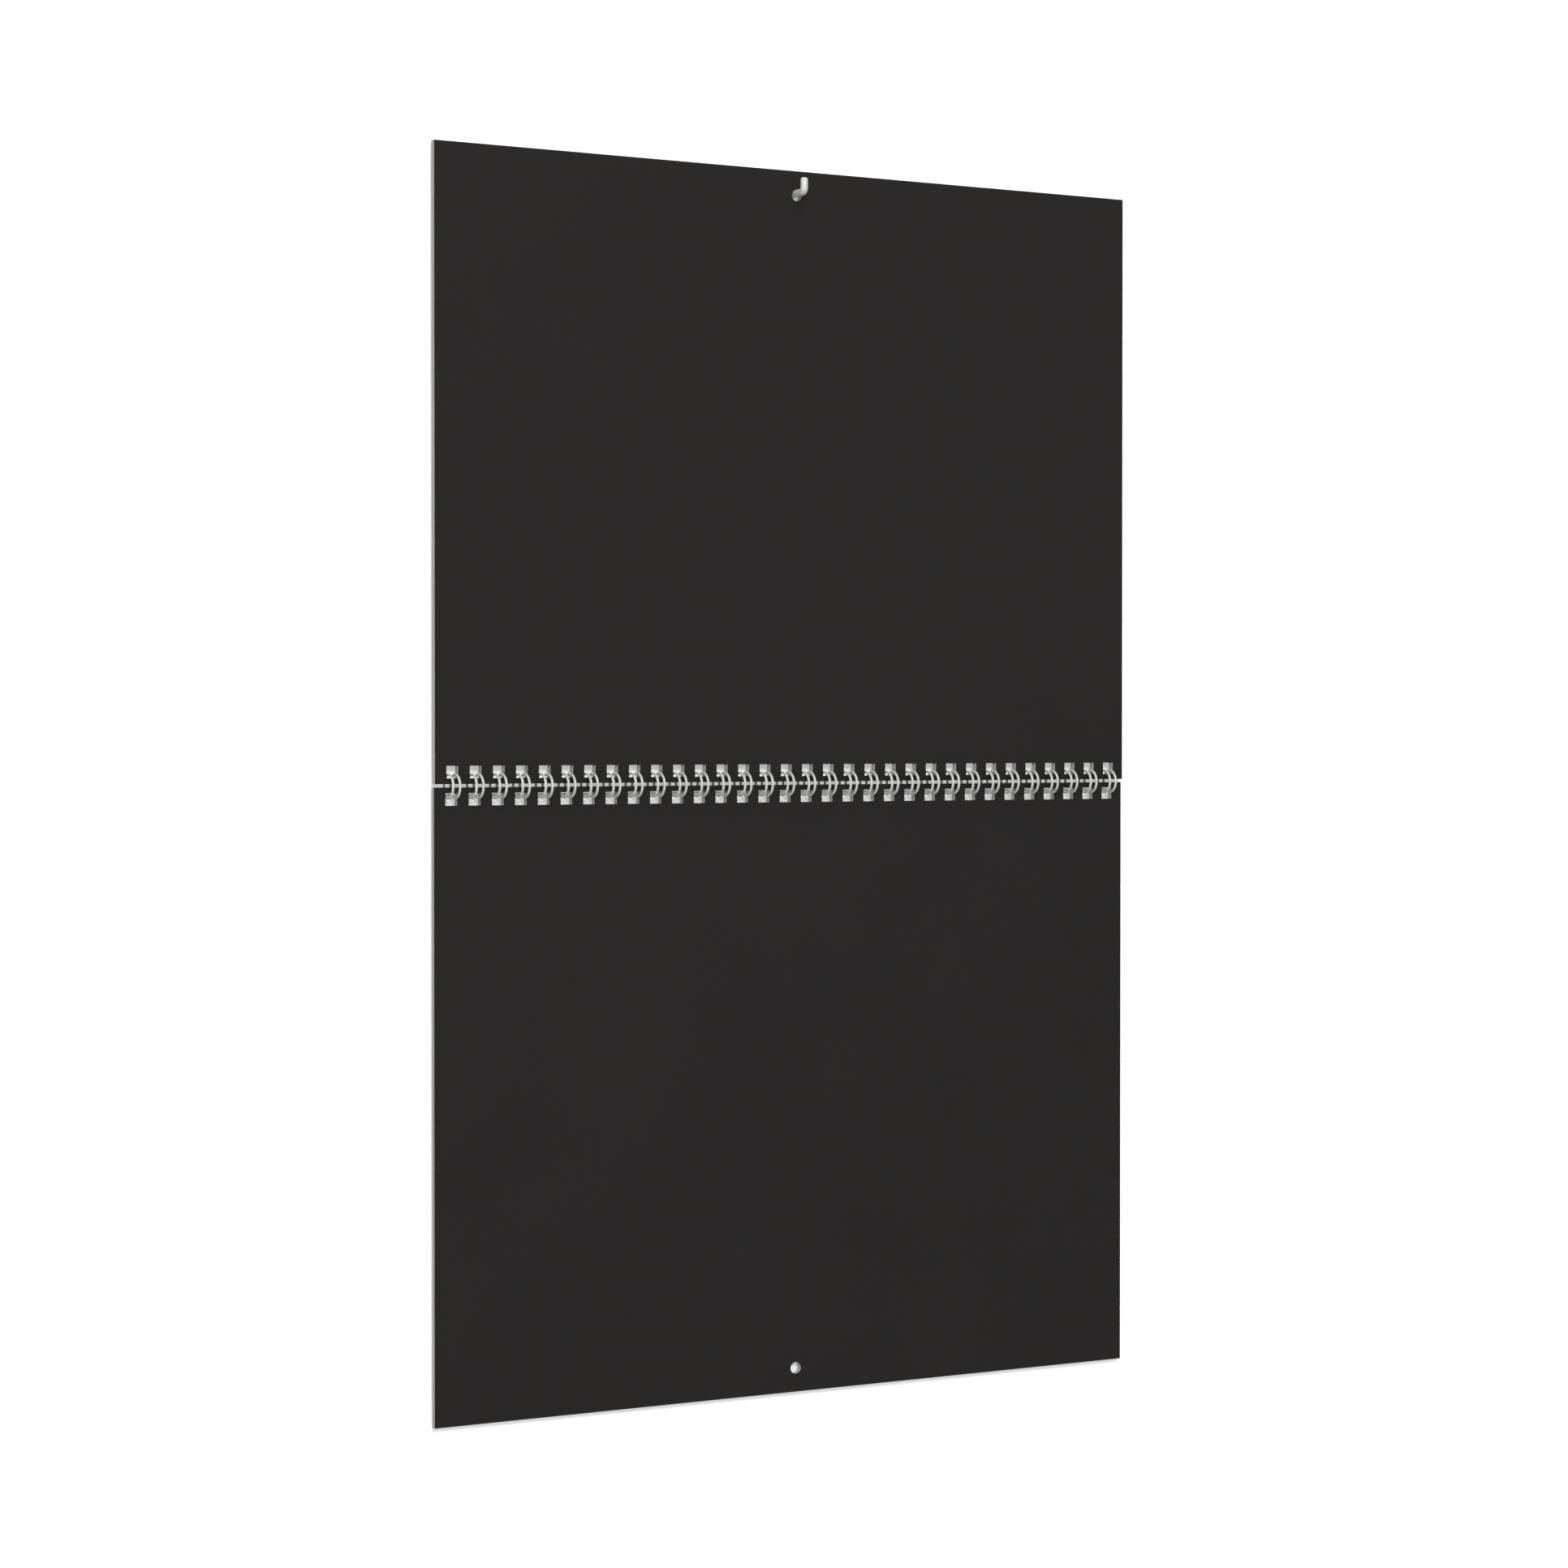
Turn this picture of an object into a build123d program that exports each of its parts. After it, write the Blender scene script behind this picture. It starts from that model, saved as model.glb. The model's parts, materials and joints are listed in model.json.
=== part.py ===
"""A blank wall calendar in twin-loop wire, hanging open on an L-shaped wall hook.

Millimetres, +Z up. The front faces -Y, the width runs along X and the wall is the plane Y = 0.
The origin is where the axis of the hook's shank comes out of the wall.
Depths are given as the distance that something stands out from the wall.
"""

import os
from math import cos, hypot, pi, radians, sin, tan

from build123d import *

# Leaves: two blocks of landscape sheets, bound along their facing edges.
leaf_width = 279.4
leaf_height = 215.9
turned_leaves_thickness = 2.0
front_cover_thickness = 0.4
remaining_leaves_thickness = 1.5
back_cover_thickness = 0.5
page_gap = 1.2

# Punched row for the wire: square holes, and the strip of paper that hangs on the wire.
# The row has as many whole pitches as fit across a leaf.
loop_pitch = 8.6
loop_count = int(leaf_width // loop_pitch)
punch_side = 4.3
punch_strip = 1.85

# Hang holes, one in the middle of each block's outer edge.
hang_hole_diameter = 4.1
hang_hole_inset = 8.5

# Binding wire. A ten-sided ring of square wire stands for the round ring of round wire:
# its mean radius and its cross-section's area are the real wire's.
wire_side = 0.8
leg_spacing = 2.5
root_bend = 0.9
seam_angle = -38.0
seam_gap = 0.4
ring_play = 0.08
ring_sides = 10

# Where the ring's axis lies against the two front faces and the middle of the gap.
axis_behind_turned_front = 0.25
axis_before_remaining_front = 0.6
axis_below_gap_middle = 0.2

# Wall hook: one bent rod with a screw end. The screw's thread isn't cut here.
hook_rod_diameter = 2.7
hook_inner_bend = 0.15
hook_rise = 5.0
hook_clear_of_leaves = 5.3
hook_tip_cut = 0.6
hook_play = 0.05
screw_diameter = 2.2
screw_length = 12.0
screw_start = 0.5
screw_point_length = 3.5
screw_point_diameter = 0.4
wall_play = 0.3

# Thicknesses of the two blocks.
upper_thickness = turned_leaves_thickness + front_cover_thickness
lower_thickness = remaining_leaves_thickness + back_cover_thickness

# The ring clears the inner back corner of each block's punched strip.
strip_depth = page_gap / 2 + punch_strip
upper_corner = hypot(upper_thickness - axis_behind_turned_front, strip_depth + axis_below_gap_middle)
lower_corner = hypot(lower_thickness + axis_before_remaining_front, strip_depth - axis_below_gap_middle)
ring_inner = max(upper_corner, lower_corner) + ring_play
ring_middle = ring_inner + wire_side / 2
ring_outer = ring_inner + wire_side
ring_reach = ring_outer / cos(pi / ring_sides)

# Depths out from the wall.
axis_out = ring_reach + wall_play
turned_front_out = axis_out + axis_behind_turned_front
remaining_front_out = axis_out - axis_before_remaining_front
hook_rise_out = turned_front_out + hook_clear_of_leaves

# Heights. The upper block hangs with the top of its hole on the hook's rod.
upper_hang_z = hook_rod_diameter / 2 + hook_play - hang_hole_diameter / 2
upper_bound_z = upper_hang_z + hang_hole_inset - leaf_height
lower_bound_z = upper_bound_z - page_gap
lower_hang_z = lower_bound_z - leaf_height + hang_hole_inset
axis_z = (upper_bound_z + lower_bound_z) / 2 - axis_below_gap_middle


def sheet_stack(name, back_out, thickness, bound_z, side, hang_z):
    """Leaves lying together, with their punched row and hang hole. side is 1 above the wire, -1 below."""
    with BuildPart() as stack:
        with BuildSketch(Plane.XZ.offset(back_out)):
            with Locations((0, bound_z + side * leaf_height / 2)):
                Rectangle(leaf_width, leaf_height)
            with Locations((0, bound_z + side * (punch_strip + punch_side / 2))):
                with GridLocations(loop_pitch, 1, loop_count, 1):
                    Rectangle(punch_side, punch_side, mode=Mode.SUBTRACT)
            with Locations((0, hang_z)):
                Circle(hang_hole_diameter / 2, mode=Mode.SUBTRACT)
        extrude(amount=thickness)
    stack.part.label = name
    return stack.part


# Upper block. The cover was turned over first, so it lies nearest the wall.
upper_back_out = turned_front_out - upper_thickness
cover_front_out = upper_back_out + front_cover_thickness
front_cover = sheet_stack(
    "front_cover", upper_back_out, front_cover_thickness, upper_bound_z, 1, upper_hang_z
)
turned_leaves = sheet_stack(
    "turned_leaves", cover_front_out, turned_leaves_thickness, upper_bound_z, 1, upper_hang_z
)

# Lower block: the leaves still to come, with the back cover behind them.
lower_back_out = remaining_front_out - lower_thickness
leaves_back_out = lower_back_out + back_cover_thickness
back_cover = sheet_stack(
    "back_cover", lower_back_out, back_cover_thickness, lower_bound_z, -1, lower_hang_z
)
remaining_leaves = sheet_stack(
    "remaining_leaves", leaves_back_out, remaining_leaves_thickness, lower_bound_z, -1, lower_hang_z
)

# Binding wire. It runs to and fro along the row: leg, closed tip, leg, root, leg and so on.
# From the roots behind the lower block the legs go up the back, over through the upper
# holes, down the front and in through the lower holes to the tips, which end below the roots.
side_turn = 180 / ring_sides
half_side = ring_middle * tan(radians(side_turn))
tip_radius = leg_spacing / 2
tip_reach = tip_radius + (wire_side + seam_gap) / 2
root_reach = root_bend + (wire_side + seam_gap) / 2
root_span = loop_pitch - leg_spacing
root_corner = root_bend * 0.8
loop_places = [(i - (loop_count - 1) / 2) * loop_pitch for i in range(loop_count)]
leg_places = [x + side * leg_spacing / 2 for x in loop_places for side in (-1, 1)]
root_places = [x + loop_pitch / 2 for x in loop_places[:-1]]


def ring_plane(x):
    """The plane across the ring at x, with its first axis towards the seam."""
    turn = radians(seam_angle)
    return Plane(origin=(x, -axis_out, axis_z), x_dir=(0, cos(turn), sin(turn)), z_dir=(1, 0, 0))


def seam_side_plane(x, end, reach):
    """The inner face of one of the two ring sides that meet at the seam, at x.

    end is 1 for the side of the roots and -1 for the side of the tips. The plane's origin is
    reach short of the seam, and its second axis points along the side towards the seam.
    """
    ring = ring_plane(x)
    turn = radians(end * side_turn)
    outwards = ring.x_dir * cos(turn) + ring.y_dir * sin(turn)
    to_seam = (ring.x_dir * sin(turn) - ring.y_dir * cos(turn)) * end
    origin = ring.origin + outwards * ring_inner + to_seam * (half_side - reach)
    return Plane(origin=origin, x_dir=to_seam.cross(outwards), z_dir=outwards)


with BuildPart() as binding_wire:
    with BuildSketch(*[ring_plane(x - wire_side / 2) for x in leg_places]):
        RegularPolygon(ring_outer, ring_sides, major_radius=False)
        RegularPolygon(ring_inner, ring_sides, major_radius=False, mode=Mode.SUBTRACT)
        for end, reach in ((1, root_reach), (-1, tip_reach)):
            with PolarLocations(ring_middle, 1, start_angle=end * side_turn):
                with Locations((0, -end * (half_side - reach / 2 + wire_side / 2))):
                    Rectangle(wire_side * 2, reach + wire_side, mode=Mode.SUBTRACT)
    extrude(amount=wire_side, clean=False)
    with BuildSketch(*[seam_side_plane(x, -1, tip_reach) for x in loop_places]):
        RegularPolygon(tip_radius + wire_side / 2, 8, major_radius=False, rotation=22.5)
        offset(amount=-wire_side, kind=Kind.INTERSECTION, mode=Mode.SUBTRACT)
        Rectangle(leg_spacing * 2, leg_spacing * 2, align=(Align.CENTER, Align.MAX), mode=Mode.SUBTRACT)
    extrude(amount=wire_side, clean=False)
    with BuildSketch(*[seam_side_plane(x, 1, root_reach) for x in root_places]):
        Rectangle(root_span + wire_side, root_bend * 2 + wire_side)
        chamfer(vertices(), root_corner)
        offset(amount=-wire_side, kind=Kind.INTERSECTION, mode=Mode.SUBTRACT)
        Rectangle(root_span * 2, root_span * 2, align=(Align.CENTER, Align.MAX), mode=Mode.SUBTRACT)
    extrude(amount=wire_side)
binding_wire.part.label = "binding_wire"

# Wall hook. The rod comes straight out of the wall and turns up.
out_and_up = Plane(origin=(0, 0, 0), x_dir=(0, -1, 0), z_dir=(-1, 0, 0))
rod_radius = hook_rod_diameter / 2
screw_radius = screw_diameter / 2
screw_end = -screw_length - screw_point_length
bend_radius = rod_radius + hook_inner_bend
bend_start_out = hook_rise_out - bend_radius
bend_axis = Axis((0, -bend_start_out, bend_radius), (-1, 0, 0))
with BuildPart() as wall_hook:
    with BuildSketch(out_and_up):
        with BuildLine():
            Polyline(
                (screw_end, 0),
                (screw_end, screw_point_diameter / 2),
                (-screw_length, screw_radius),
                (screw_start, screw_radius),
                (screw_start, rod_radius),
                (bend_start_out, rod_radius),
                (bend_start_out, 0),
                close=True,
            )
        make_face()
    revolve(axis=Axis.Y)
    with BuildSketch(Plane.XZ.offset(bend_start_out)):
        Circle(rod_radius)
    revolve(axis=bend_axis, revolution_arc=90)
    with BuildSketch(Plane.XY.offset(bend_radius)):
        with Locations((0, -hook_rise_out)):
            Circle(rod_radius)
    extrude(amount=hook_rise - bend_radius)
    chamfer(wall_hook.edges().group_by(Axis.Z)[-1], hook_tip_cut)
wall_hook.part.label = "wall_hook"

if __name__ == "__main__":
    os.makedirs("parts", exist_ok=True)
    pieces = (front_cover, turned_leaves, remaining_leaves, back_cover, binding_wire.part, wall_hook.part)
    for piece in pieces:
        export_step(piece, f"parts/{piece.label}.step")
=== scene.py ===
"""Dresses the packed wall calendar: single leaves with pale cut edges, a round twin-loop wire
and a satin hook with a screw thread, hanging before a white wall.

Everything is in metres, in the frame of the packed part: +Z up, the wall is Y = 0, the
calendar faces -Y and the hook's shank comes out of the wall at the origin."""

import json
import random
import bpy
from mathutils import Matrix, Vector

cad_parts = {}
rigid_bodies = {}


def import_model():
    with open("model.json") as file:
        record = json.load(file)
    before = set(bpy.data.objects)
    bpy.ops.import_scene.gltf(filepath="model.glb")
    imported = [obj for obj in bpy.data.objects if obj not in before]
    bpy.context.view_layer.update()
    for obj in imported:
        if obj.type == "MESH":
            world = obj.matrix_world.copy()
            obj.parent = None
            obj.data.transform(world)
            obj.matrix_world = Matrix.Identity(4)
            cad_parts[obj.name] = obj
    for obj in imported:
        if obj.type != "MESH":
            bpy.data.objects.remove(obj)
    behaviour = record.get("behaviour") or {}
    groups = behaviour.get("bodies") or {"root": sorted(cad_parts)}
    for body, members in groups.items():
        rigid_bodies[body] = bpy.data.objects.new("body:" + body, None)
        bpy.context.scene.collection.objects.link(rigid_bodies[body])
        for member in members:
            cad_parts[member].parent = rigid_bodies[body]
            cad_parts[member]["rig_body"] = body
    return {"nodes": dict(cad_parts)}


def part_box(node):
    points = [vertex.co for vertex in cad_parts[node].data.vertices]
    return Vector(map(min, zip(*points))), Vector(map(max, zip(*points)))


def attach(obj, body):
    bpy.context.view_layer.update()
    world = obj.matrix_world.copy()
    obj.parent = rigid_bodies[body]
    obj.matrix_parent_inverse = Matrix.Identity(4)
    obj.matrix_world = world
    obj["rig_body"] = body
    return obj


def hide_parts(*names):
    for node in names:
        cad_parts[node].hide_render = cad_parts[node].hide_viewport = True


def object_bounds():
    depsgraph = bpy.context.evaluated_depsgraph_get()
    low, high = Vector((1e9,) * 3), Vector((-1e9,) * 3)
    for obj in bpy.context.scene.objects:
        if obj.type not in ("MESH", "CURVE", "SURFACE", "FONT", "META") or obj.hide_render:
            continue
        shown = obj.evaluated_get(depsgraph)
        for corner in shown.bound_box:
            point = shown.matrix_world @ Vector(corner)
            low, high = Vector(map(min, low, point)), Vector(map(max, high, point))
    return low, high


bl_info = {
    "name": "Wall calendar",
    "version": (1, 0, 0),
    "blender": (4, 5, 0),
    "location": "3D View > Sidebar > Calendar",
    "description": "Dresses a wire-bound wall calendar on its hook and sets up its stage",
    "category": "Add Mesh",
}

from math import atan2, cos, pi, radians, sin

import bmesh
import bpy
from bpy.props import FloatProperty, FloatVectorProperty, IntProperty, PointerProperty
from mathutils import Matrix, Vector

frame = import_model()
cad_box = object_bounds()
MM = 0.001

# The ring of the binding wire, from the packed node.
wire_low, wire_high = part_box("binding_wire")
RING_CENTRE = (wire_low + wire_high) / 2
# The wire's two ends meet behind the lower block, this far round from straight at the wall.
SEAM_TURN = radians(-38)

# The hook, from the packed node.
hook_low, hook_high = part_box("wall_hook")
ROD_RADIUS = (hook_high.x - hook_low.x) / 2


# Sizes and colours that a user would change.


def length(name, default, description):
    """A size in metres that is shown in the scene's own unit."""
    return FloatProperty(
        name=name, description=description, default=default, min=0, unit="LENGTH", precision=5
    )


def colour(name, default, description):
    """A colour in linear light."""
    return FloatVectorProperty(
        name=name, description=description, default=default, min=0, max=1, size=3, subtype="COLOR"
    )


def angle(name, degrees, description):
    """An angle that is given in degrees."""
    return FloatProperty(
        name=name, description=description, default=radians(degrees), subtype="ANGLE"
    )


def power(name, default):
    """The power of a lamp in watts."""
    return FloatProperty(
        name=name, description="Power of the lamp", default=default, min=0, unit="POWER"
    )


class CalendarLeaves(bpy.types.PropertyGroup):
    """Leaves and covers."""

    leaf_thickness: length("Leaf thickness", 0.25 * MM, "Thickness of one leaf")
    air_share: FloatProperty(
        name="Air", description="Share of a leaf's place in the pile that is air", default=0.04,
        min=0, max=0.5, subtype="FACTOR",
    )
    stray: length("Stray", 0.06 * MM, "How far a leaf may lie out of line with the pile")
    ink: colour("Ink", (0.0122, 0.0113, 0.0110), "Colour of the printed faces")
    worn_ink: colour("Worn ink", (0.0157, 0.0147, 0.0143), "Colour of the thinnest ink")
    edge: colour("Cut edge", (0.51, 0.51, 0.50), "Colour of the paper where it is cut")
    edge_shade: colour("Cut edge shade", (0.40, 0.40, 0.39), "Colour of the darkest cut edges")


class CalendarWire(bpy.types.PropertyGroup):
    """Binding wire."""

    loop_count: IntProperty(name="Loops", description="Number of twin loops", default=32, min=1)
    loop_pitch: length("Loop pitch", 8.592 * MM, "Distance from one loop to the next")
    slide: length("Slide", 0.19 * MM, "How far the wire has slid to the left in its holes")
    leg_spacing: length("Leg spacing", 2.5 * MM, "Distance between a loop's two legs")
    thickness: length("Wire thickness", 0.9 * MM, "Diameter of the coated wire")
    ring_radius: length("Ring radius", 4.0 * MM, "Radius of the ring to the wire's middle")
    root_bend: length("Root bend", 0.9 * MM, "Radius of the bends between two loops")
    seam_gap: length("Seam gap", 0.4 * MM, "Gap between the roots and the tips")
    silver: colour("Silver", (0.55, 0.55, 0.54), "Colour of the coating")
    dull_silver: colour("Dull silver", (0.47, 0.47, 0.46), "Colour of the dullest coating")


class CalendarHook(bpy.types.PropertyGroup):
    """Wall hook."""

    bend_radius: length("Bend radius", 1.5 * MM, "Radius of the bend to the rod's middle")
    tip_round: length("Tip rounding", 0.95 * MM, "Rounding of the rod's upper end")
    core: length("Screw core", 2.1 * MM, "Diameter of the screw between its threads")
    thread_pitch: length("Thread pitch", 1.25 * MM, "Rise of the thread in one turn")
    point_length: length("Point length", 3.5 * MM, "Length of the screw's tapered point")
    steel: colour("Steel", (0.55, 0.55, 0.54), "Colour of the satin steel")
    dark_steel: colour("Dark steel", (0.48, 0.48, 0.47), "Colour of the drawn lines")


class CalendarStage(bpy.types.PropertyGroup):
    """Wall, floor, lights and camera."""

    wall_white: colour("Wall", (0.75, 0.75, 0.75), "Colour of the wall")
    wall_lift: FloatProperty(
        name="Wall lift", description="White that is added to the wall where it is seen",
        default=0.41, min=0, max=1, subtype="FACTOR",
    )
    floor_white: colour("Floor", (0.40, 0.40, 0.40), "Colour of the floor")
    floor_lift: FloatProperty(
        name="Floor lift", description="White that is added to the floor where it is seen",
        default=0.80, min=0, max=1, subtype="FACTOR",
    )
    key_turn: angle("Key turn", -21, "Turn of the key light to the reader's right")
    key_rise: angle("Key rise", 20, "Height of the key light above level")
    key_size: length("Key size", 0.6, "Side of the square key light")
    key_power: power("Key power", 54.0)
    top_turn: angle("Top turn", -12, "Turn of the top light to the reader's right")
    top_rise: angle("Top rise", 58, "Height of the top light above level")
    top_size: length("Top size", 1.6, "Side of the square top light")
    top_power: power("Top power", 29.0)
    side_turn: angle("Side turn", -80, "Turn of the side light to the reader's right")
    side_rise: angle("Side rise", 0, "Height of the side light above level")
    side_size: length("Side size", 1.6, "Side of the square side light")
    side_power: power("Side power", 28.0)
    lamp_distance: length("Lamp distance", 3.0, "Distance of the lamps")
    air_light: FloatProperty(
        name="Air light", description="Strength of the light from all round", default=0.29, min=0
    )


# Shader maths.


class Term:
    """One output in a node tree, which adds, subtracts and multiplies as in Python."""

    def __init__(self, shader, socket):
        self.shader = shader
        self.socket = socket

    def __add__(self, other):
        return self.shader.maths("ADD", self, other)

    def __sub__(self, other):
        return self.shader.maths("SUBTRACT", self, other)

    def __mul__(self, other):
        return self.shader.maths("MULTIPLY", self, other)

    def above(self, other):
        """The greater of the two."""
        return self.shader.maths("MAXIMUM", self, other)

    def contrast(self, low, gain):
        """0 at low, and gain times as steep."""
        return (self - low) * gain

    __radd__ = __add__


class Shader:
    """A node tree that is built from its texture end."""

    def __init__(self, tree):
        self.tree = tree
        tree.nodes.clear()

    def node(self, kind, sockets=None, out=0, **settings):
        """Adds a node, makes its settings, then sets or links its sockets. Gives one output."""
        made = self.tree.nodes.new("ShaderNode" + kind)
        for name, value in settings.items():
            setattr(made, name, value)
        for name, value in (sockets or {}).items():
            if isinstance(name, int):
                socket = made.inputs[name]
            else:
                socket = next(s for s in made.inputs if s.enabled and s.name == name)
            if isinstance(value, Term):
                self.tree.links.new(value.socket, socket)
            else:
                socket.default_value = value
        outputs = [s for s in made.outputs if s.enabled]
        wanted = out if isinstance(out, int) else [s.name for s in outputs].index(out)
        return Term(self, outputs[wanted]) if outputs else None

    def maths(self, operation, a, b):
        return self.node("Math", {0: a, 1: b}, operation=operation)

    def blend(self, factor, a, b):
        """Colour a at 0 and colour b at 1."""
        sockets = {"Factor": factor, "A": (*a, 1), "B": (*b, 1)}
        return self.node("Mix", sockets, data_type="RGBA")

    def noise(self, place, scale, detail=2.0, roughness=0.5):
        sockets = {"Vector": place, "Scale": scale, "Detail": detail, "Roughness": roughness}
        return self.node("TexNoise", sockets)


def finish(name, surface):
    """A material whose surface shader is built by surface(shader)."""
    material = bpy.data.materials.new(name)
    material.use_nodes = True
    shader = Shader(material.node_tree)
    shader.node("OutputMaterial", {"Surface": surface(shader)})
    return material


def printed_face(settings):
    """Matt black ink on smooth card, with a fine tooth and slightly thinner ink in places."""

    def surface(shader):
        place = shader.node("TexCoord", out="Object")
        tooth = shader.noise(place, scale=2400, detail=3.0, roughness=0.6)
        cloud = shader.noise(place, scale=22, detail=3.0)
        thin = (tooth * 0.5 + cloud * 0.5).contrast(low=0.3, gain=1.6)
        relief = shader.node("Bump", {"Strength": 0.35, "Distance": 0.03 * MM, "Height": tooth})
        sockets = {
            "Base Color": shader.blend(thin, settings.ink, settings.worn_ink),
            "Roughness": 0.60 + cloud * 0.12,
            "Specular IOR Level": 0.10,
            "Normal": relief,
        }
        return shader.node("BsdfPrincipled", sockets)

    return finish("printed_face", surface)


def cut_edge(settings):
    """Pale paper core where the leaves are cut, a little different from leaf to leaf."""

    def surface(shader):
        place = shader.node("TexCoord", out="Object")
        leaf = shader.node("Attribute", attribute_name="leaf_tone", out="Fac")
        fibre = shader.noise(place, scale=5200)
        burr = shader.noise(place, scale=420)
        dirt = leaf * 0.45 + fibre * 0.25 + burr * 0.3
        relief = shader.node("Bump", {"Strength": 0.5, "Distance": 0.03 * MM, "Height": fibre})
        sockets = {
            "Base Color": shader.blend(dirt, settings.edge, settings.edge_shade),
            "Roughness": 0.82,
            "Specular IOR Level": 0.3,
            "Normal": relief,
        }
        return shader.node("BsdfPrincipled", sockets)

    return finish("cut_edge", surface)


def coated_wire(settings):
    """Silver plastic-coated steel with a soft sheen, duller in spots and patches."""

    def surface(shader):
        place = shader.node("TexCoord", out="Object")
        spots = shader.noise(place, scale=1500, detail=3.0)
        patch = shader.noise(place, scale=160)
        dull = (spots * 0.5 + patch * 0.5).contrast(low=0.35, gain=2.2)
        relief = shader.node("Bump", {"Strength": 0.25, "Distance": 0.02 * MM, "Height": spots})
        sockets = {
            "Base Color": shader.blend(dull, settings.silver, settings.dull_silver),
            "Metallic": 0.25,
            "Roughness": 0.58 + patch * 0.12,
            "Normal": relief,
        }
        return shader.node("BsdfPrincipled", sockets)

    return finish("coated_wire", surface)


def satin_steel(settings):
    """Satin steel, with fine drawn lines that follow the rod."""

    def surface(shader):
        rod_place = shader.node("Attribute", attribute_name="rod_place", out="Vector")
        along = shader.node("Mapping", {"Vector": rod_place, "Scale": (5200, 5200, 130)})
        lines = shader.noise(along, scale=1.0, detail=3.0)
        haze = shader.noise(shader.node("TexCoord", out="Object"), scale=700)
        relief = shader.node("Bump", {"Strength": 0.2, "Distance": 0.01 * MM, "Height": lines})
        sockets = {
            "Base Color": shader.blend(lines, settings.steel, settings.dark_steel),
            "Metallic": 0.30,
            "Roughness": 0.52 + haze * 0.10,
            "Normal": relief,
        }
        return shader.node("BsdfPrincipled", sockets)

    return finish("satin_steel", surface)


# Mesh helpers.


def piece(name, bm, materials, smooth_angle=None):
    """Makes a shown object of a finished bmesh."""
    mesh = bpy.data.meshes.new(name)
    bm.to_mesh(mesh)
    bm.free()
    for material in materials:
        mesh.materials.append(material)
    if smooth_angle is not None:
        mesh.shade_smooth()
        mesh.set_sharp_from_angle(angle=smooth_angle)
    made = bpy.data.objects.new(name, mesh)
    bpy.context.scene.collection.objects.link(made)
    return made


def dress(made, node):
    """Puts a piece in the place of a packed node."""
    body = frame["nodes"][node]["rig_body"]
    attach(made, body)
    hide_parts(node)


def verts_of(geom):
    """The vertices among these elements."""
    return [g for g in geom if isinstance(g, bmesh.types.BMVert)]


def turn(bm, end, centre, axis, angle, steps):
    """Carries the open end of a rod round an arc. Gives the new end."""
    made = bmesh.ops.spin(
        bm, geom=end, cent=centre, axis=axis, angle=angle, steps=steps, use_duplicate=False
    )
    return [g for g in made["geom_last"] if isinstance(g, bmesh.types.BMEdge)]


def advance(bm, end, path):
    """Carries the open end of a rod straight on. Gives the new end."""
    made = bmesh.ops.extrude_edge_only(bm, edges=end)["geom"]
    bmesh.ops.translate(bm, verts=verts_of(made), vec=path)
    return [g for g in made if isinstance(g, bmesh.types.BMEdge) and len(g.link_faces) == 1]


def rod_end(bm, place, direction, radius, sides):
    """An open round end of a rod at place, across direction. Gives its edges."""
    stand = Matrix.Translation(place) @ direction.to_track_quat("Z", "X").to_matrix().to_4x4()
    made = bmesh.ops.create_circle(bm, radius=radius, segments=sides, matrix=stand)
    return list(dict.fromkeys(e for v in made["verts"] for e in v.link_edges))


# Leaves and covers.


def pile_of_leaves(name, leaf_count, settings, materials, seed):
    """Single leaves in the place of a packed pile, front leaf first."""
    draw = random.Random(seed)
    low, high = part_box(name)
    place_depth = (high.y - low.y) / leaf_count
    air_share = settings.air_share if leaf_count > 1 else 0
    leaf_depth = place_depth * (1 - air_share)
    bm = bmesh.new()
    bm.from_mesh(frame["nodes"][name].data)
    bmesh.ops.remove_doubles(bm, verts=bm.verts, dist=0.001 * MM)
    tone = bm.faces.layers.float.new("leaf_tone")
    pattern = bm.verts[:] + bm.edges[:] + bm.faces[:]
    to_front = Matrix.Translation((0, -low.y, 0))
    thin = Matrix.Diagonal((1, leaf_depth / (high.y - low.y), 1, 1))
    for i in range(leaf_count):
        leaf = bmesh.ops.duplicate(bm, geom=pattern)["geom"]
        stray = Vector((draw.uniform(-1, 1), 0, draw.uniform(-1, 1))) * settings.stray
        # The front leaf keeps the outline of the packed pile.
        if i == 0:
            stray = Vector()
        back_to_place = Matrix.Translation(stray + Vector((0, low.y + i * place_depth, 0)))
        matrix = back_to_place @ thin @ to_front
        bmesh.ops.transform(bm, matrix=matrix, verts=verts_of(leaf))
        leaf_tone = draw.random()
        for g in leaf:
            if isinstance(g, bmesh.types.BMFace):
                g[tone] = leaf_tone
    bmesh.ops.delete(bm, geom=verts_of(pattern), context="VERTS")
    bm.normal_update()
    for face in bm.faces:
        face.material_index = 0 if abs(face.normal.y) > 0.5 else 1
    return piece(name + "_sheets", bm, materials)


class CALENDAR_OT_leaves(bpy.types.Operator):
    """Add the two blocks' leaves, one sheet at a time"""

    bl_idname = "calendar.leaves"
    bl_label = "Leaves"

    def execute(self, context):
        settings = context.scene.calendar_leaves
        materials = (printed_face(settings), cut_edge(settings))
        for seed, node in enumerate(("turned_leaves", "remaining_leaves")):
            low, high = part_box(node)
            leaf_count = round((high.y - low.y) / settings.leaf_thickness)
            pile = pile_of_leaves(node, leaf_count, settings, materials, seed)
            dress(pile, node)
        return {"FINISHED"}


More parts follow.
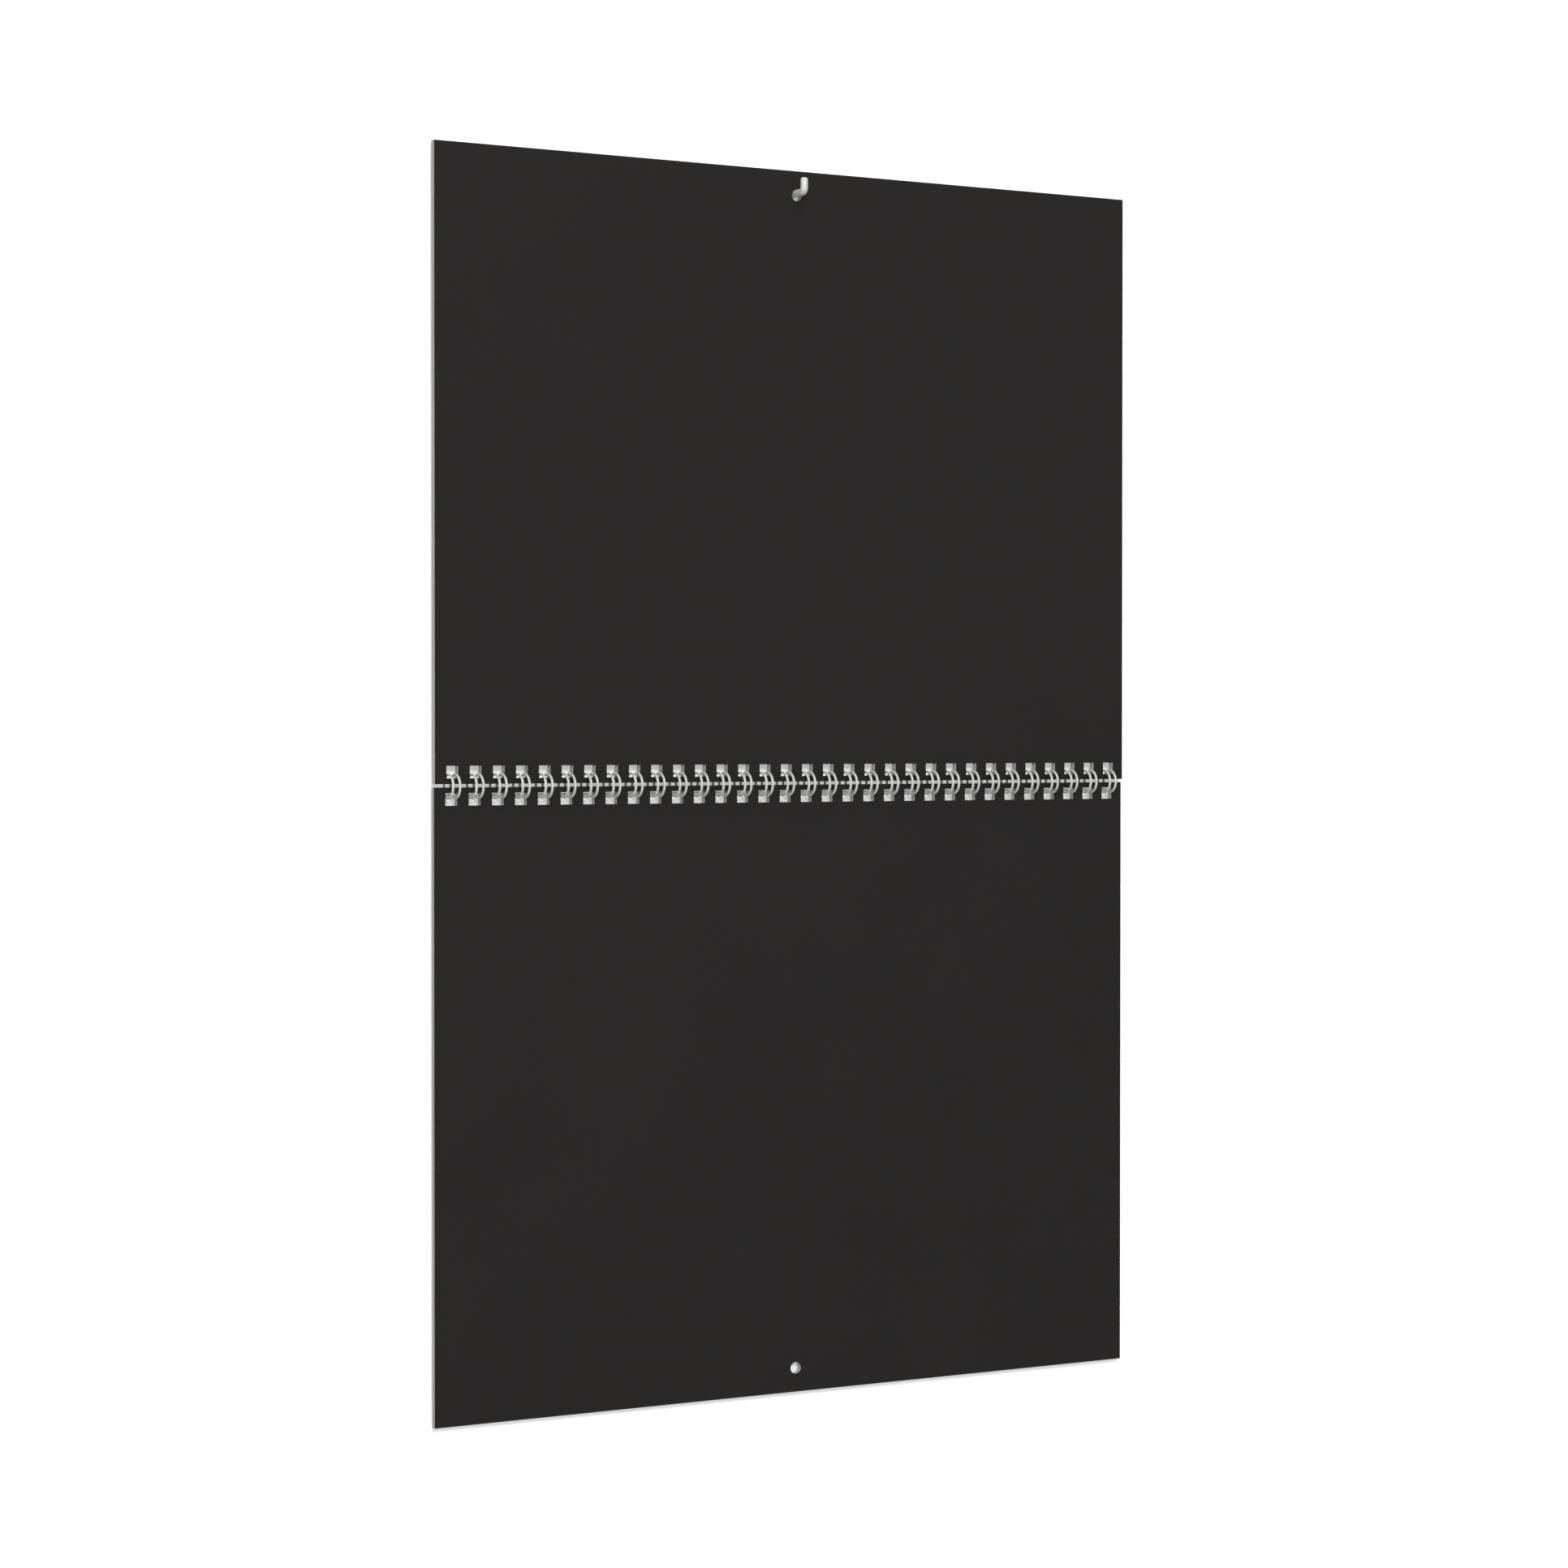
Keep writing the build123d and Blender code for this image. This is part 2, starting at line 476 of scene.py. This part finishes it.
class CALENDAR_OT_covers(bpy.types.Operator):
    """Add the front cover, which is turned over, and the back cover"""

    bl_idname = "calendar.covers"
    bl_label = "Covers"

    def execute(self, context):
        settings = context.scene.calendar_leaves
        materials = (printed_face(settings), cut_edge(settings))
        for seed, node in enumerate(("front_cover", "back_cover")):
            cover = pile_of_leaves(node, 1, settings, materials, seed)
            dress(cover, node)
        return {"FINISHED"}


# Binding wire.


class CALENDAR_OT_binding_wire(bpy.types.Operator):
    """Add the twin-loop wire: leg, tip, leg, root and so on along the row"""

    bl_idname = "calendar.binding_wire"
    bl_label = "Binding wire"

    sides = 12
    leg_steps = 36
    tip_steps = 8
    root_steps = 4

    def execute(self, context):
        wire = context.scene.calendar_wire
        radius = wire.thickness / 2
        tip_radius = wire.leg_spacing / 2

        def angle_for(reach):
            """How far round from the seam a leg ends, for a bend that reaches this far."""
            return atan2(reach + radius + wire.seam_gap / 2, wire.ring_radius)

        def end_frame(angle):
            """Outwards and onwards at this angle round the ring, from the wall upwards."""
            return Vector((0, cos(angle), sin(angle))), Vector((0, -sin(angle), cos(angle)))

        root_angle = SEAM_TURN + angle_for(wire.root_bend)
        tip_angle = SEAM_TURN + 2 * pi - angle_for(tip_radius)
        leg_turn = tip_angle - root_angle
        across = Vector((1, 0, 0))
        row_start = -(wire.loop_count - 1) / 2 * wire.loop_pitch - wire.slide
        first = Vector((row_start - tip_radius, RING_CENTRE.y, RING_CENTRE.z))

        bm = bmesh.new()
        # One loop: up a leg, round the tip and back down the other leg.
        out, on = end_frame(root_angle)
        leg_foot = first + out * wire.ring_radius
        end = rod_end(bm, leg_foot, on, radius, self.sides)
        end = turn(bm, end, first, across, leg_turn, self.leg_steps)
        out, on = end_frame(tip_angle)
        tip_centre = first + out * wire.ring_radius + across * tip_radius
        end = turn(bm, end, tip_centre, out, pi, self.tip_steps)
        turn(bm, end, first, across, -leg_turn, self.leg_steps)
        loop = bm.verts[:] + bm.edges[:] + bm.faces[:]

        # One root: across to the next loop.
        out, on = end_frame(root_angle)
        foot = leg_foot + across * wire.leg_spacing
        span = wire.loop_pitch - wire.leg_spacing
        end = rod_end(bm, foot, on, radius, self.sides)
        end = turn(bm, end, foot + across * wire.root_bend, -out, pi / 2, self.root_steps)
        end = advance(bm, end, across * (span - 2 * wire.root_bend))
        corner = foot + across * (span - wire.root_bend) - on * wire.root_bend
        turn(bm, end, corner + on * wire.root_bend, -out, pi / 2, self.root_steps)
        of_loop = set(loop)
        root = [g for g in bm.verts[:] + bm.edges[:] + bm.faces[:] if g not in of_loop]

        for i in range(1, wire.loop_count):
            for shape in (loop, root) if i < wire.loop_count - 1 else (loop,):
                copy = bmesh.ops.duplicate(bm, geom=shape)["geom"]
                step = across * (i * wire.loop_pitch)
                bmesh.ops.translate(bm, verts=verts_of(copy), vec=step)
        bmesh.ops.remove_doubles(bm, verts=bm.verts, dist=0.01 * MM)
        bmesh.ops.holes_fill(bm, edges=[e for e in bm.edges if e.is_boundary], sides=0)
        bmesh.ops.recalc_face_normals(bm, faces=bm.faces)
        made = piece("twin_loop_wire", bm, (coated_wire(wire),), smooth_angle=radians(40))
        dress(made, "binding_wire")
        return {"FINISHED"}


# Wall hook.


class CALENDAR_OT_wall_hook(bpy.types.Operator):
    """Add the bent rod and its screw end"""

    bl_idname = "calendar.wall_hook"
    bl_label = "Wall hook"

    sides = 40
    bend_steps = 12
    tip_steps = 8
    # Where the rod ends and the screw begins, just in front of the wall.
    shoulder = -0.5 * MM

    # The bulge of the point: its radius as a share of the core's, at this share of its length.
    bulge_radius = 0.62
    bulge_place = 0.55

    # The thread's section: half its foot as a share of the pitch, and half its crest.
    foot_share = 0.30
    half_crest = 0.05 * MM
    # How deep its foot is sunk in the core.
    sunk = 0.15 * MM
    # The bare lengths before and behind it, and the share of its height that its ends have.
    bare_neck = 2.2 * MM
    bare_tip = 1.0 * MM
    end_share = 0.35
    # The shares of the core and of the thread's height that are lost along the point.
    core_taper = 0.80
    thread_taper = 0.55
    thread_sides = 32

    def add_rod(self, bm, place, hook):
        """The rod: out of the wall, round the bend and up to its rounded end."""
        end = rod_end(
            bm, Vector((0, self.shoulder, 0)), Vector((0, -1, 0)), ROD_RADIUS, self.sides
        )
        for v in bm.verts:
            v[place] = Vector((v.co.x, v.co.z, 0))
        along = 0.0

        def carry(end, step, step_length):
            """One step of the rod. Its new ring is marked as if the rod were straight."""
            nonlocal along
            before = {v for e in end for v in e.verts}
            new_end = step(end)
            along += step_length
            for v in {v for e in new_end for v in e.verts}:
                old = next(e.other_vert(v) for e in v.link_edges if e.other_vert(v) in before)
                v[place] = Vector((old[place].x, old[place].y, along))
            return new_end

        straight = -hook_low.y - ROD_RADIUS - hook.bend_radius
        run = straight + self.shoulder
        end = carry(end, lambda e: advance(bm, e, Vector((0, -run, 0))), run)
        bend_centre = Vector((0, -straight, hook.bend_radius))
        step_turn = pi / 2 / self.bend_steps
        for _ in range(self.bend_steps):
            end = carry(
                end,
                lambda e: turn(bm, e, bend_centre, (-1, 0, 0), step_turn, 1),
                step_turn * hook.bend_radius,
            )
        rise = hook_high.z - hook.bend_radius
        end = carry(end, lambda e: advance(bm, e, Vector((0, 0, rise))), rise)
        bmesh.ops.holes_fill(bm, edges=end, sides=0)
        bmesh.ops.bevel(
            bm, geom=end, offset=hook.tip_round, offset_type="OFFSET", segments=self.tip_steps,
            profile=0.5, affect="EDGES", material=-1,
        )

    def add_core(self, bm, hook):
        """The screw's core, turned from its outline. Its shoulder closes the rod."""
        core = hook.core / 2
        point_start = hook_high.y - hook.point_length
        outline = [
            (ROD_RADIUS, self.shoulder),
            (core, self.shoulder + (ROD_RADIUS - core)),
            (core, point_start),
            (core * self.bulge_radius, point_start + hook.point_length * self.bulge_place),
            (0, hook_high.y),
        ]
        points = [bm.verts.new((r, y, 0)) for r, y in outline]
        edges = [bm.edges.new(pair) for pair in zip(points, points[1:])]
        bmesh.ops.spin(
            bm, geom=points + edges, cent=(0, 0, 0), axis=(0, 1, 0), angle=2 * pi,
            steps=self.sides, use_merge=True, use_duplicate=False,
        )

    def add_thread(self, bm, hook):
        """A ridge that climbs round the core and is lower towards both ends."""
        core = hook.core / 2
        half_foot = hook.thread_pitch * self.foot_share
        ridge = [
            (core - self.sunk, -half_foot), (core, -half_foot),
            (ROD_RADIUS, -self.half_crest), (ROD_RADIUS, self.half_crest),
            (core, half_foot), (core - self.sunk, half_foot),
        ]
        start = self.shoulder + self.bare_neck
        stop = hook_high.y - self.bare_tip
        turns = (stop - start) / hook.thread_pitch
        points = [bm.verts.new((r, start + y, 0)) for r, y in ridge]
        face = bm.faces.new(points)
        before = set(bm.verts) - set(points)
        bmesh.ops.spin(
            bm, geom=[face], cent=(0, 0, 0), axis=(0, 1, 0),
            dvec=(0, hook.thread_pitch / self.thread_sides, 0), angle=2 * pi * turns,
            steps=round(turns * self.thread_sides), use_duplicate=False,
        )
        point_start = hook_high.y - hook.point_length
        for v in set(bm.verts) - before:
            radius = Vector((v.co.x, v.co.z)).length
            share = max(0.0, v.co.y - point_start) / hook.point_length
            from_start = (v.co.y - start) / hook.thread_pitch + self.end_share
            from_stop = (stop - v.co.y) / hook.thread_pitch + self.end_share
            fade = max(0.0, min(1.0, from_start, from_stop))
            height = (radius - core) * fade * (1 - share * self.thread_taper)
            k = (core * (1 - share * self.core_taper) + height) / radius
            v.co.x *= k
            v.co.z *= k

    def execute(self, context):
        hook = context.scene.calendar_hook
        bm = bmesh.new()
        # Where each point of the rod would lie if the rod were straight.
        place = bm.verts.layers.float_vector.new("rod_place")
        self.add_rod(bm, place, hook)
        self.add_core(bm, hook)
        self.add_thread(bm, hook)
        for v in bm.verts:
            if v.co.y > self.shoulder:
                v[place] = Vector((v.co.x, v.co.z, v.co.y))
        bmesh.ops.remove_doubles(bm, verts=bm.verts, dist=0.002 * MM)
        bmesh.ops.recalc_face_normals(bm, faces=bm.faces)
        made = piece("bent_screw_hook", bm, (satin_steel(hook),), smooth_angle=radians(38))
        dress(made, "wall_hook")
        return {"FINISHED"}


# Stage.

# The light that the wall and the floor give to the object.
BACKDROP_LIGHT = 0.5


def seen_directly(shader):
    """1 for rays that show the background: from the camera, off gloss or through glass."""
    rays = [
        shader.node("LightPath", out="Is %s Ray" % kind)
        for kind in ("Camera", "Glossy", "Transmission")
    ]
    return rays[0].above(rays[1]).above(rays[2])


def backdrop(name, white, lift):
    """White for the camera and for reflections, with the object's soft shadow, and plain pale
    light for all other rays. It is clear from behind, so the object's back can be seen."""

    def surface(shader):
        paint = shader.node("BsdfDiffuse", {"Color": (*white, 1)})
        glow = shader.node("Emission", {"Color": (1, 1, 1, 1), "Strength": lift})
        shown = shader.node("AddShader", {0: paint, 1: glow})
        plain = shader.node("Emission", {"Color": (1, 1, 1, 1), "Strength": BACKDROP_LIGHT})
        front = shader.node("MixShader", {0: seen_directly(shader), 1: plain, 2: shown})
        behind = shader.node("NewGeometry", out="Backfacing")
        clear = shader.node("BsdfTransparent")
        return shader.node("MixShader", {0: behind, 1: front, 2: clear})

    return finish(name, surface)


class CALENDAR_OT_stage(bpy.types.Operator):
    """Set up the wall, the floor, the lights and the camera"""

    bl_idname = "calendar.stage"
    bl_label = "Stage"

    # The camera, as fitted to the photograph.
    camera_place = Vector((-631.36, -1117.77, -190.80)) * MM
    camera_azimuth = radians(29.368)
    camera_elevation = radians(-0.813)
    camera_lens = 82.82
    camera_range = (0.01, 50)
    # Half the side of the wall and of the floor, and the floor's height.
    sheet_half = 4.0
    floor_z = -1.3

    def add_sheets(self, stage):
        """The wall and the floor."""
        half = self.sheet_half
        sheets = {
            "wall": (stage.wall_white, stage.wall_lift, Matrix.Rotation(pi / 2, 4, "X")),
            "floor": (stage.floor_white, stage.floor_lift, Matrix.Translation((0, -half, -half))),
        }
        for name, (white, lift, stand) in sheets.items():
            bm = bmesh.new()
            bmesh.ops.create_grid(bm, x_segments=1, y_segments=1, size=half, matrix=stand)
            bmesh.ops.translate(bm, verts=bm.verts, vec=(0, 0, self.floor_z + half))
            paint = backdrop(name + "_white", white, lift)
            piece(name, bm, (paint,))

    def add_lamps(self, stage, scene):
        """Three soft lamps that face the middle of the calendar."""
        low, high = cad_box
        for name in ("key", "top", "side"):
            light_turn, light_rise, size, watts = (
                getattr(stage, name + "_" + what) for what in ("turn", "rise", "size", "power")
            )
            direction = Vector((
                sin(light_turn) * cos(light_rise),
                -cos(light_turn) * cos(light_rise),
                sin(light_rise),
            ))
            light = bpy.data.lights.new(name, "AREA")
            light.shape = "SQUARE"
            light.size = size
            light.energy = watts
            lamp = bpy.data.objects.new(name, light)
            lamp.location = (low + high) / 2 + direction * stage.lamp_distance
            lamp.rotation_mode = "QUATERNION"
            lamp.rotation_quaternion = direction.to_track_quat("Z", "Y")
            lamp.visible_camera = False
            scene.collection.objects.link(lamp)

    def set_world(self, stage, scene):
        """White where it is seen, and plain pale light on the object."""
        world = bpy.data.worlds.new("pale_room")
        world.use_nodes = True
        scene.world = world
        shader = Shader(world.node_tree)
        seen = seen_directly(shader)
        room = shader.node("Background", {"Color": (1, 1, 1, 1), "Strength": stage.air_light})
        shown = shader.node("Background", {"Color": (1, 1, 1, 1), "Strength": 1.0})
        surface = shader.node("MixShader", {0: seen, 1: room, 2: shown})
        shader.node("OutputWorld", {"Surface": surface})

    def add_camera(self, scene):
        """The camera at the photograph's place."""
        lens = bpy.data.cameras.new("camera")
        lens.lens = self.camera_lens
        lens.clip_start, lens.clip_end = self.camera_range
        camera = bpy.data.objects.new("camera", lens)
        camera.location = self.camera_place
        look = Vector((
            sin(self.camera_azimuth) * cos(self.camera_elevation),
            cos(self.camera_azimuth) * cos(self.camera_elevation),
            sin(self.camera_elevation),
        ))
        camera.rotation_mode = "QUATERNION"
        camera.rotation_quaternion = look.to_track_quat("-Z", "Y")
        scene.collection.objects.link(camera)
        scene.camera = camera

    def execute(self, context):
        scene = context.scene
        scene.view_settings.view_transform = "Standard"
        self.add_sheets(scene.calendar_stage)
        self.add_lamps(scene.calendar_stage, scene)
        self.set_world(scene.calendar_stage, scene)
        self.add_camera(scene)
        return {"FINISHED"}


# Panel, registration and the run.

OPERATORS = (
    CALENDAR_OT_stage,
    CALENDAR_OT_leaves,
    CALENDAR_OT_covers,
    CALENDAR_OT_binding_wire,
    CALENDAR_OT_wall_hook,
)
SETTINGS = {
    "calendar_leaves": CalendarLeaves,
    "calendar_wire": CalendarWire,
    "calendar_hook": CalendarHook,
    "calendar_stage": CalendarStage,
}


class CALENDAR_PT_pieces(bpy.types.Panel):
    """The calendar's pieces and their sizes"""

    bl_label = "Wall calendar"
    bl_space_type = "VIEW_3D"
    bl_region_type = "UI"
    bl_category = "Calendar"

    def draw(self, context):
        for operator in OPERATORS:
            self.layout.operator(operator.bl_idname)
        for name, group in SETTINGS.items():
            box = self.layout.box()
            box.label(text=group.__doc__.rstrip("."))
            for setting in group.__annotations__:
                box.prop(getattr(context.scene, name), setting)


def register():
    for made in (*SETTINGS.values(), *OPERATORS, CALENDAR_PT_pieces):
        bpy.utils.register_class(made)
    for name, group in SETTINGS.items():
        setattr(bpy.types.Scene, name, PointerProperty(type=group))


def unregister():
    for name in SETTINGS:
        delattr(bpy.types.Scene, name)
    for made in (CALENDAR_PT_pieces, *reversed(OPERATORS), *reversed(SETTINGS.values())):
        bpy.utils.unregister_class(made)


def main():
    register()
    bpy.ops.calendar.stage()
    bpy.ops.calendar.leaves()
    bpy.ops.calendar.covers()
    bpy.ops.calendar.binding_wire()
    bpy.ops.calendar.wall_hook()


if __name__ == "__main__":
    main()
